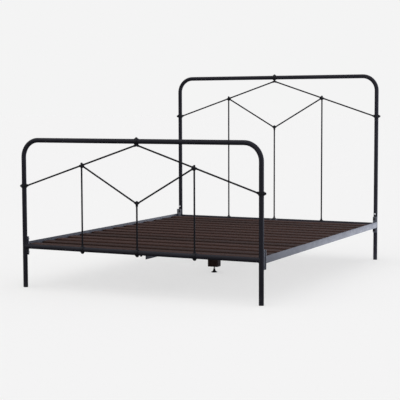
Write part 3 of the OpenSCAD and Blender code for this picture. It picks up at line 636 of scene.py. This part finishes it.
def stained_wood(name, along, dark, light):
    """Dark stain over softwood: rings, pores and rays that run along one axis."""
    finish, tree, surface, place = blank_finish(name)
    edge, eased = worn_edges(tree, place, wood_edge)
    parts = add(tree, "SeparateXYZ", Vector=place)
    from_gap = maths(tree, "SUBTRACT", parts.outputs["Y"], first_gap)
    board = maths(tree, "FLOOR", maths(tree, "DIVIDE", from_gap, slat_step))
    chance = add(tree, "TexWhiteNoise", settings={"noise_dimensions": "1D"}, W=board)
    shift = add(tree, "VectorMath", settings={"operation": "SCALE"},
                _0=chance.outputs["Color"], Scale=board_shift).outputs["Vector"]
    moved = add(tree, "VectorMath", settings={"operation": "ADD"},
                _0=place, _1=shift).outputs["Vector"]
    stretch = (grain_stretch, 1.0, 1.0) if along == "X" else (1.0, 1.0, grain_stretch)
    grain_place = add(tree, "VectorMath", settings={"operation": "MULTIPLY"},
                      _0=moved, _1=stretch).outputs["Vector"]
    wander = add(tree, "TexNoise", Vector=grain_place, Scale=14.0, Detail=3.0).outputs["Color"]
    bent = add(tree, "VectorMath", settings={"operation": "MULTIPLY_ADD"},
               _0=wander, _1=grain_wander, _2=grain_place).outputs["Vector"]
    rings = add(tree, "TexWave", settings={"wave_type": "RINGS", "rings_direction": along,
                                           "wave_profile": "SAW"},
                Vector=bent, Scale=ring_scale, Distortion=1.2, Detail=2.0,
                Detail_Scale=1.5).outputs["Fac"]
    fibres = add(tree, "TexNoise", Vector=grain_place, Scale=fibre_scale, Detail=3.0,
                 Roughness=0.6).outputs["Fac"]
    pores = add(tree, "MapRange", Value=fibres, From_Min=0.52, From_Max=0.70,
                To_Min=0.0, To_Max=1.0).outputs["Result"]
    tone = maths(tree, "ADD", maths(tree, "MULTIPLY", rings, ring_share),
                 maths(tree, "MULTIPLY", fibres, 1 - ring_share))
    stained = mixed(tree, tone, dark, light)
    board_tone = add(tree, "MapRange", Value=chance.outputs["Value"], To_Min=0.75, To_Max=1.2)
    toned = add(tree, "VectorMath", settings={"operation": "SCALE"}, _0=stained,
                Scale=board_tone.outputs["Result"]).outputs["Vector"]
    pored = mixed(tree, maths(tree, "MULTIPLY", pores, pore_share), toned, pore_black)
    tree.links.new(mixed(tree, maths(tree, "MULTIPLY", edge, rub_share), pored, rubbed_wood),
                   surface.inputs["Base Color"])
    tree.links.new(blotches(tree, place, 30 * MM, 0.52, 0.68), surface.inputs["Roughness"])
    surface.inputs["Specular IOR Level"].default_value = 0.22
    relief = maths(tree, "SUBTRACT", maths(tree, "MULTIPLY", rings, 0.3), pores)
    bump = add(tree, "Bump", Strength=1.0, Distance=relief_depth, Height=relief,
               Normal=eased)
    tree.links.new(bump.outputs["Normal"], surface.inputs["Normal"])
    return finish


slat_wood = stained_wood("slat_wood", "X", stain_dark, stain_light)
eased_piece("slats", slat_wood, "stained_wood", wood_ease)
leg_wood_painted_shade = stained_wood("leg_wood_painted_shade", "Z", leg_stain_dark_painted_shade, leg_stain_light_painted_shade)
eased_piece("centre_leg", leg_wood_painted_shade, "stained_wood", wood_ease)


# ---- Studio ------------------------------------------------------------------
# A pale seamless floor in a white room. A very broad light hangs overhead, and
# the room is brightest behind the bed on the right, where the flat steel
# catches it. The camera itself sees the room evenly white.

room_white = 0.905
floor_seen = 0.34
floor_lit = 0.12
floor_tint = (1.0, 0.98, 0.945)
floor_reach = 150
glow = 0.563
bright_side = Vector((0.75, 0.66, 0.0))
light_tint = (0.91, 0.95, 1.07, 1)
white = (1, 1, 1, 1)


def ramp(tree, value, start, end, low, high):
    """A smooth change from low at start to high at end."""
    rise = add(tree, "MapRange", settings={"interpolation_type": "SMOOTHSTEP"}, Value=value,
               From_Min=start, From_Max=end, To_Min=low, To_Max=high)
    return rise.outputs["Result"]


def seen_or_lit(tree, seen, lit):
    """One value for what the camera sees of the room, another for how the room lights things."""
    direct = tree.nodes.new("ShaderNodeLightPath").outputs["Is Camera Ray"]
    return add(tree, "Mix", settings={"data_type": "FLOAT"}, _0=direct, _2=lit, _3=seen).outputs[0]


def cool_light(tree):
    """White where the camera sees the room, and a little cool where it lights things."""
    direct = tree.nodes.new("ShaderNodeLightPath").outputs["Is Camera Ray"]
    return mixed(tree, direct, light_tint, white)


def to_bright_side(tree, place):
    """How far a place or a direction lies towards the room's bright side."""
    return add(tree, "VectorMath", settings={"operation": "DOT_PRODUCT"}, _0=place,
               _1=bright_side).outputs["Value"]


world = bpy.data.worlds.new("room")
world.use_nodes = True
sky = world.node_tree
towards = sky.nodes.new("ShaderNodeTexCoord").outputs["Generated"]
rising = add(sky, "SeparateXYZ", Vector=towards).outputs["Z"]
behind = maths(sky, "MULTIPLY",
               ramp(sky, to_bright_side(sky, towards), start=0.30, end=0.90, low=0.10, high=1.7),
               ramp(sky, rising, start=0.15, end=0.75, low=1.0, high=0.35))
above = ramp(sky, rising, start=0.2, end=0.9, low=0.0, high=0.25)
room = sky.nodes["Background"]
sky.links.new(cool_light(sky), room.inputs["Color"])
sky.links.new(seen_or_lit(sky, room_white, maths(sky, "ADD", behind, above)),
              room.inputs["Strength"])
bpy.context.scene.world = world


def soft_light(name, towards, strength, spread):
    """A broad light from far off, shining along towards, as wide as spread degrees."""
    lamp = bpy.data.lights.new(name, "SUN")
    lamp.energy = strength
    lamp.angle = math.radians(spread)
    holder = bpy.data.objects.new(name, lamp)
    bpy.context.scene.collection.objects.link(holder)
    holder.rotation_euler = Vector(towards).to_track_quat("-Z", "Y").to_euler()


soft_light("light_above", (0.25, 0.45, -0.85), strength=2.5, spread=120)

floor_mesh = bmesh.new()
bmesh.ops.create_circle(floor_mesh, cap_ends=True, segments=96, radius=floor_reach)
floor_data = bpy.data.meshes.new("floor")
floor_mesh.to_mesh(floor_data)
floor_mesh.free()
floor = bpy.data.objects.new("floor", floor_data)
bpy.context.scene.collection.objects.link(floor)
floor_paint, paint_tree, paint, paint_place = blank_finish("floor_paint")
share = seen_or_lit(paint_tree, floor_seen, floor_lit)
shade = add(paint_tree, "VectorMath", settings={"operation": "SCALE"}, _0=floor_tint,
            Scale=share)
paint_tree.links.new(shade.outputs["Vector"], paint.inputs["Base Color"])
paint.inputs["Roughness"].default_value = 1.0
paint.inputs["Specular IOR Level"].default_value = 0.0
paint_tree.links.new(cool_light(paint_tree), paint.inputs["Emission Color"])
far_glow = ramp(paint_tree, to_bright_side(paint_tree, paint_place),
                start=-0.3, end=3.0, low=0.02, high=2.0)
paint_tree.links.new(seen_or_lit(paint_tree, glow, far_glow), paint.inputs["Emission Strength"])
floor.data.materials.append(floor_paint)

camera_place = (3.1516, -6.6749, 1.0752)
camera_turn = 0.4536
camera_dip = 0.0812
camera_roll = -0.0033
camera_data = bpy.data.cameras.new("camera")
camera_data.lens = 102.26
camera_data.sensor_width = 36
camera_data.clip_end = 400
camera = bpy.data.objects.new("camera", camera_data)
bpy.context.scene.collection.objects.link(camera)
camera.matrix_world = (Matrix.Translation(camera_place)
                       @ Matrix.Rotation(camera_turn, 4, "Z")
                       @ Matrix.Rotation(math.pi / 2 - camera_dip, 4, "X")
                       @ Matrix.Rotation(camera_roll, 4, "Z"))
bpy.context.scene.camera = camera
bpy.context.scene.view_settings.view_transform = "Standard"
